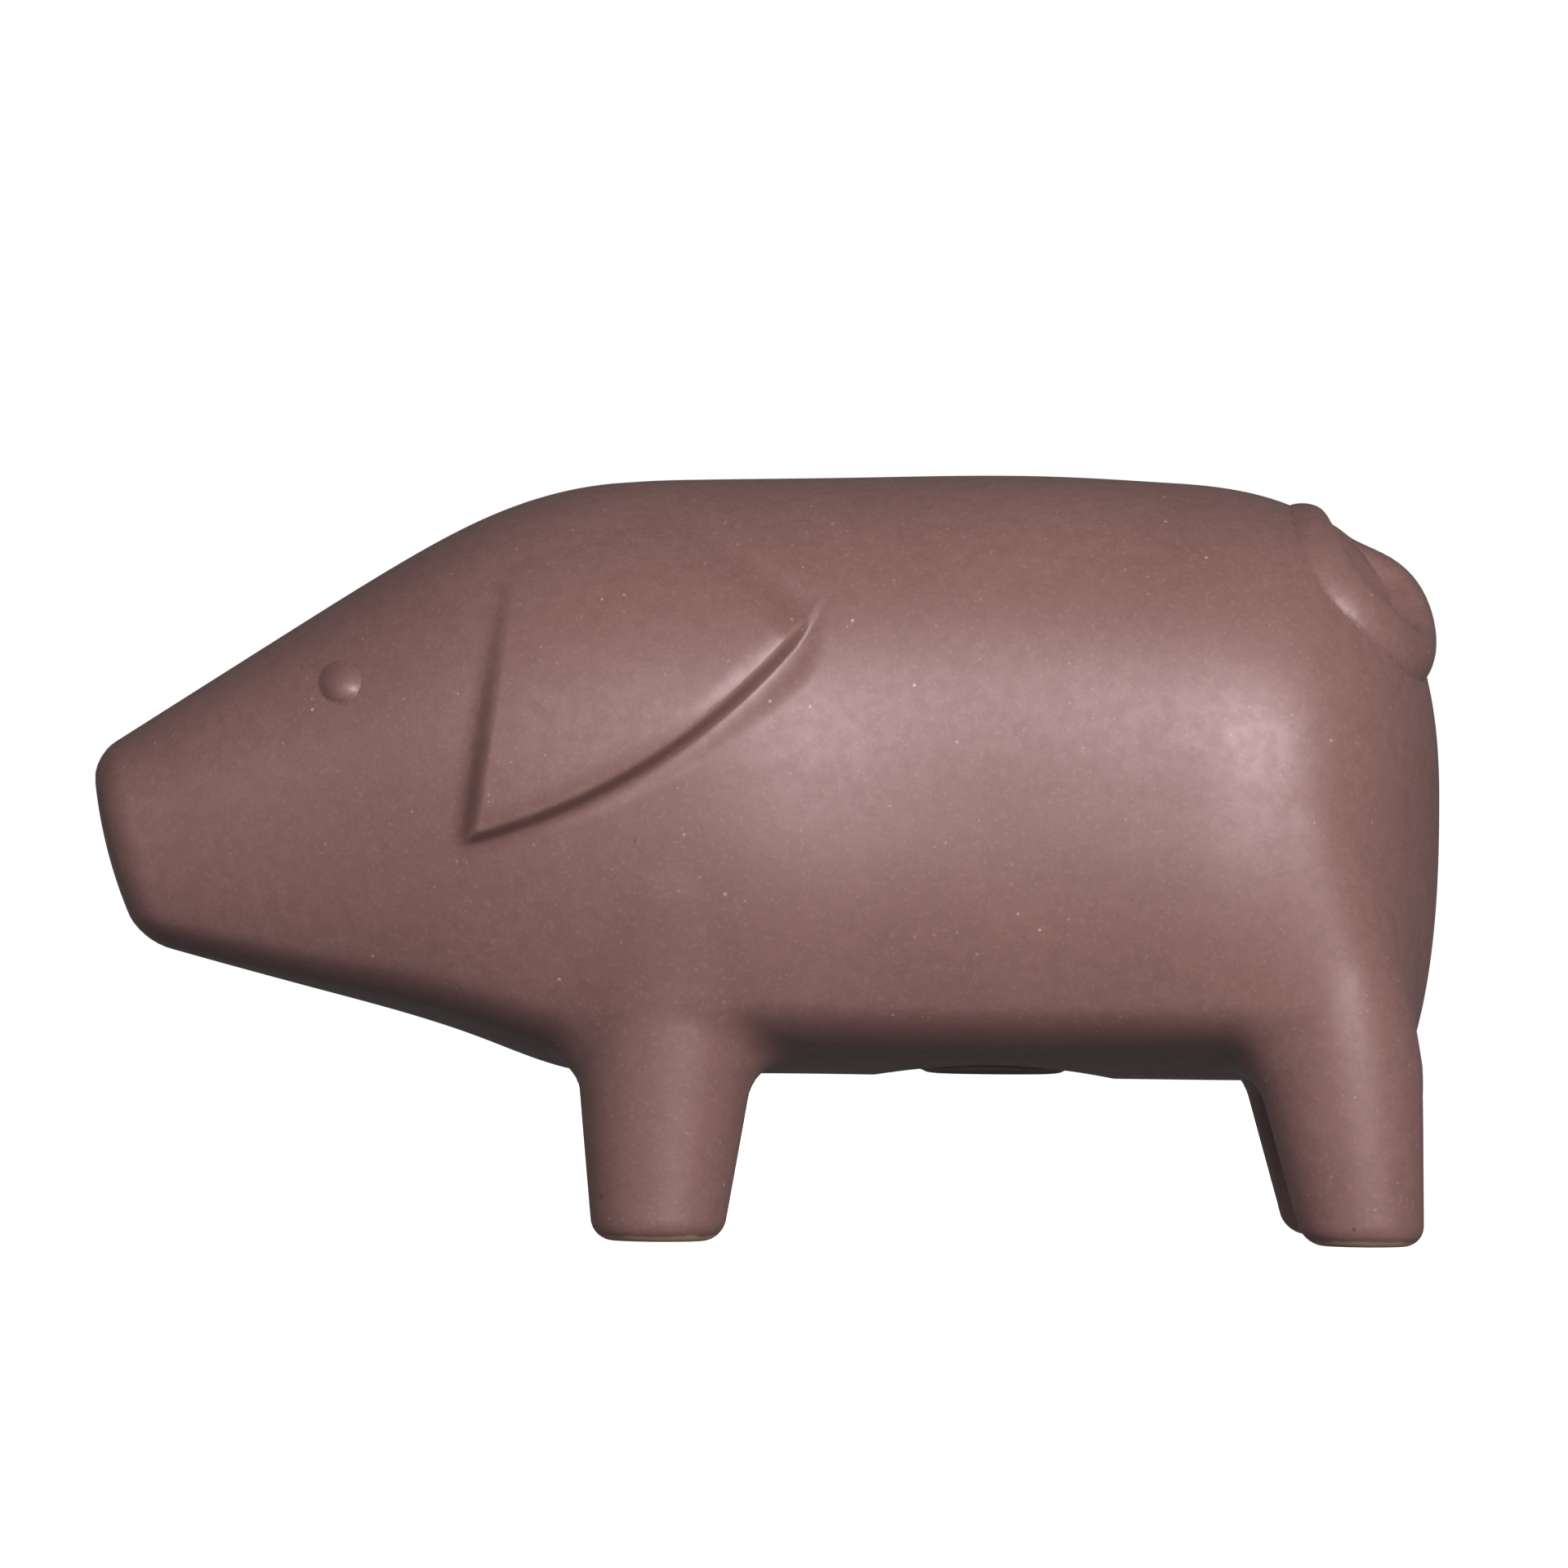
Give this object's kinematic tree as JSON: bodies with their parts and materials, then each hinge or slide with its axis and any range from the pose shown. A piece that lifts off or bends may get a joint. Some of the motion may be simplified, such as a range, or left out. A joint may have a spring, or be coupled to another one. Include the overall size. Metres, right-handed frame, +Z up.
{
  "type": "piggy bank",
  "caption": "Hollow glazed ceramic pig on short legs with a coin slot in its back, ears, eyes and a curled tail in relief, and a soft plug in its belly.",
  "frame": {"origin": "centre of the bounding box at floor level, where the four feet stand", "axes": "+Z up, the snout points to -X and the tail to +X, and the pig mirrors in the plane Y = 0"},
  "size_m": [0.1999, 0.0868, 0.1133],
  "materials": {
    "glaze": "satin mauve-brown glaze",
    "plug": "soft matte"
  },
  "bodies": {
    "pig": {"ceramic_body": "glaze"},
    "stopper": {"belly_stopper": "plug"}
  },
  "joints": [
    {"name": "stopper_pull", "type": "slide", "parent": "pig", "child": "stopper", "axis": [0, 0, -1], "range_m": [0, 0.018]}
  ]
}
